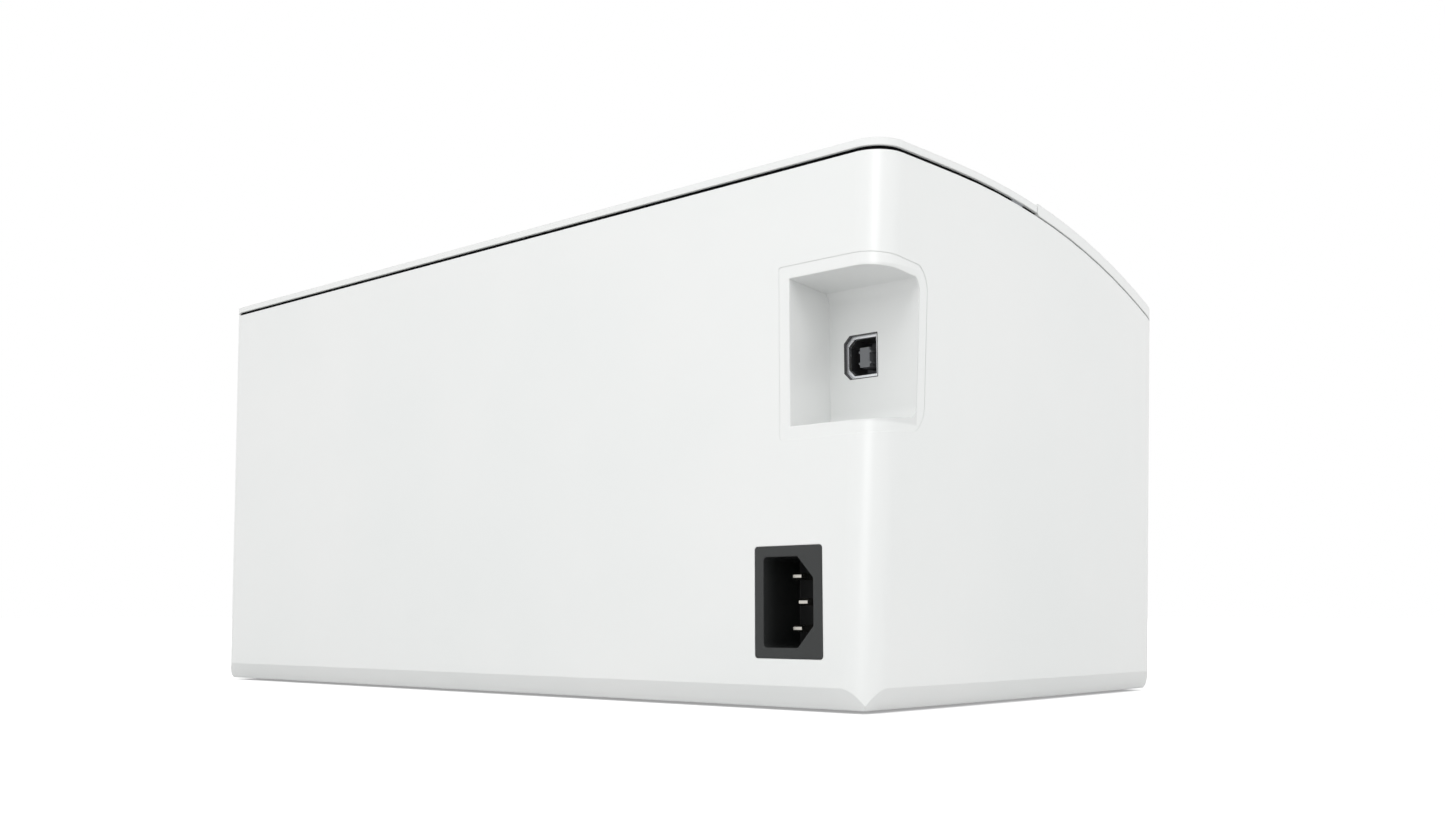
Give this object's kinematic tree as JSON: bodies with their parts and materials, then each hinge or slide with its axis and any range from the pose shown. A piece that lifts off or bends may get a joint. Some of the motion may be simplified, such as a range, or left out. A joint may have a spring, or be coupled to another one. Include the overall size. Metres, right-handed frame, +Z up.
{
  "type": "thermal_label_printer",
  "caption": "Desktop thermal label printer, white flared housing, curved top with rear slab and hinged front cover, USB-B recess and C14 inlet at the rear corner",
  "frame": {"origin": "on the floor under the centre of the body", "axes": "+X to the right seen from the front, +Y to the rear, +Z up"},
  "size_m": [0.3332, 0.168, 0.1512],
  "materials": {
    "casing_white": "fine spark-eroded texture, injection moulded",
    "frame_black": "moulded, satin",
    "steel_sheet": "zinc-plated sheet",
    "steel_shaft": "ground bright steel",
    "foot_rubber": "moulded rubber",
    "platen_rubber": "ground silicone rubber",
    "screw_steel": "zinc-plated",
    "light_pipe": "clear polycarbonate",
    "inlet_grey": "moulded dark grey",
    "tinned_brass": "nickel plated",
    "usb_steel": "tinned shell",
    "usb_insulator": "moulded grey",
    "gold": "gold flash",
    "board_green": "solder mask",
    "board_tan": "paper laminate",
    "chip_black": "moulded epoxy",
    "transformer_tape": "ferrite and tape",
    "aluminium": "extruded",
    "capacitor_sleeve": "shrink sleeve",
    "cable_white": "laminated ribbon",
    "acetal": "natural acetal",
    "pinion_brass": "hobbed brass",
    "motor_black": "black coating",
    "ceramic": "glazed ceramic",
    "bearing_grey": "oil-filled polymer",
    "holder_grey": "moulded grey",
    "button_grey": "moulded dark grey",
    "spring_steel": "spring steel strip"
  },
  "bodies": {
    "chassis": {"main_housing": "casing_white", "base_plate": "steel_sheet", "rubber_feet": "foot_rubber", "base_screws": "screw_steel", "top_slab": "casing_white", "chassis_frame": "frame_black", "roll_bay": "frame_black", "front_bezel": "frame_black", "tear_bar": "steel_shaft", "status_light": "light_pipe", "power_inlet_body": "inlet_grey", "power_inlet_pins": "tinned_brass", "usb_shell": "usb_steel", "usb_tongue": "usb_insulator", "usb_contacts": "gold", "main_board": "board_green", "board_parts": "chip_black", "power_board": "board_tan", "transformer": "transformer_tape", "heat_sink": "aluminium", "filter_capacitors": "capacitor_sleeve", "button_board": "board_green", "flat_cable": "cable_white", "side_frame_left": "steel_sheet", "side_frame_right": "steel_sheet", "tie_bars": "steel_shaft", "frame_screws": "screw_steel", "stepper_motor": "motor_black", "motor_bracket": "steel_sheet", "idler_post": "steel_shaft", "head_shaft": "steel_shaft", "head_springs": "spring_steel", "media_sensor": "chip_black", "guide_rail": "steel_sheet", "pinion_pin": "steel_shaft", "hinge_brackets": "steel_sheet", "hinge_pins": "steel_shaft"},
    "cover": {"front_cover": "casing_white", "cover_inner_frame": "frame_black", "platen_bearings": "bearing_grey", "latch_pins": "steel_shaft"},
    "platen": {"platen_shaft": "steel_shaft", "platen_rubber": "platen_rubber", "platen_gear": "acetal"},
    "idler": {"idler_gear": "acetal"},
    "pinion": {"motor_pinion": "pinion_brass"},
    "head": {"print_head": "aluminium", "thermal_plate": "ceramic", "head_arms": "steel_sheet"},
    "latch": {"latch_hooks": "button_grey"},
    "latch_knob": {"latch_button": "button_grey"},
    "holder_left": {"roll_holder_left": "holder_grey"},
    "holder_right": {"roll_holder_right": "holder_grey"},
    "hub_left": {"roll_hub_left": "frame_black"},
    "hub_right": {"roll_hub_right": "frame_black"},
    "holder_gear": {"holder_pinion": "acetal"},
    "feed_key": {"feed_button": "button_grey"},
    "power_key": {"power_button": "button_grey"}
  },
  "joints": [
    {"name": "cover_hinge", "type": "hinge", "parent": "chassis", "child": "cover", "pos_m": [0, 0.0152, 0.1455], "axis": [-1, 0, 0], "range_deg": [0, 80]},
    {"name": "platen_spin", "type": "hinge", "parent": "cover", "child": "platen", "pos_m": [0.006, -0.07, 0.118], "axis": [1, 0, 0], "continuous": true},
    {"name": "idler_spin", "type": "hinge", "parent": "chassis", "child": "idler", "pos_m": [0.131, -0.06092, 0.10228], "axis": [1, 0, 0], "continuous": true},
    {"name": "pinion_spin", "type": "hinge", "parent": "chassis", "child": "pinion", "pos_m": [0.131, -0.04579, 0.0822], "axis": [1, 0, 0], "continuous": true},
    {"name": "head_tilt", "type": "hinge", "parent": "chassis", "child": "head", "pos_m": [0.006, -0.056, 0.095], "axis": [-1, 0, 0], "range_deg": [0, 2.4]},
    {"name": "latch_turn", "type": "hinge", "parent": "chassis", "child": "latch", "pos_m": [0.006, -0.073, 0.084], "axis": [-1, 0, 0], "range_deg": [0, 8], "stiffness_Nm_per_rad": 0.4, "springref_deg": -8.59},
    {"name": "latch_press", "type": "slide", "parent": "chassis", "child": "latch_knob", "axis": [0, 1, 0], "range_m": [0, 0.0013]},
    {"name": "holder_slide", "type": "slide", "parent": "chassis", "child": "holder_left", "axis": [1, 0, 0], "range_m": [0, 0.075]},
    {"name": "holder_slide_right", "type": "slide", "parent": "chassis", "child": "holder_right", "axis": [-1, 0, 0], "range_m": [0, 0.075]},
    {"name": "holder_gear_spin", "type": "hinge", "parent": "chassis", "child": "holder_gear", "pos_m": [0.006, -0.0285, 0.033], "axis": [0, 0, 1], "range_deg": [0, 480]},
    {"name": "hub_spin_left", "type": "hinge", "parent": "holder_left", "child": "hub_left", "pos_m": [-0.088, -0.0285, 0.068], "axis": [1, 0, 0], "continuous": true},
    {"name": "hub_spin_right", "type": "hinge", "parent": "holder_right", "child": "hub_right", "pos_m": [0.1, -0.0285, 0.068], "axis": [1, 0, 0], "continuous": true},
    {"name": "feed_press", "type": "slide", "parent": "chassis", "child": "feed_key", "axis": [0, 1, 0], "range_m": [0, 0.001], "stiffness_N_per_m": 200, "springref_m": -0.001},
    {"name": "power_press", "type": "slide", "parent": "chassis", "child": "power_key", "axis": [0, 1, 0], "range_m": [0, 0.001], "stiffness_N_per_m": 200, "springref_m": -0.001}
  ],
  "couplings": [
    {"joint": "idler_spin", "follows": "platen_spin", "ratio": -1.25},
    {"joint": "pinion_spin", "follows": "platen_spin", "ratio": 3.2143},
    {"joint": "head_tilt", "follows": "cover_hinge", "ratio": 0.03},
    {"joint": "latch_press", "follows": "latch_turn", "m_per_rad": 0.009},
    {"joint": "holder_slide_right", "follows": "holder_slide", "ratio": 1},
    {"joint": "holder_gear_spin", "follows": "holder_slide", "rad_per_m": 111.11},
    {"joint": "hub_spin_right", "follows": "hub_spin_left", "ratio": 1}
  ]
}
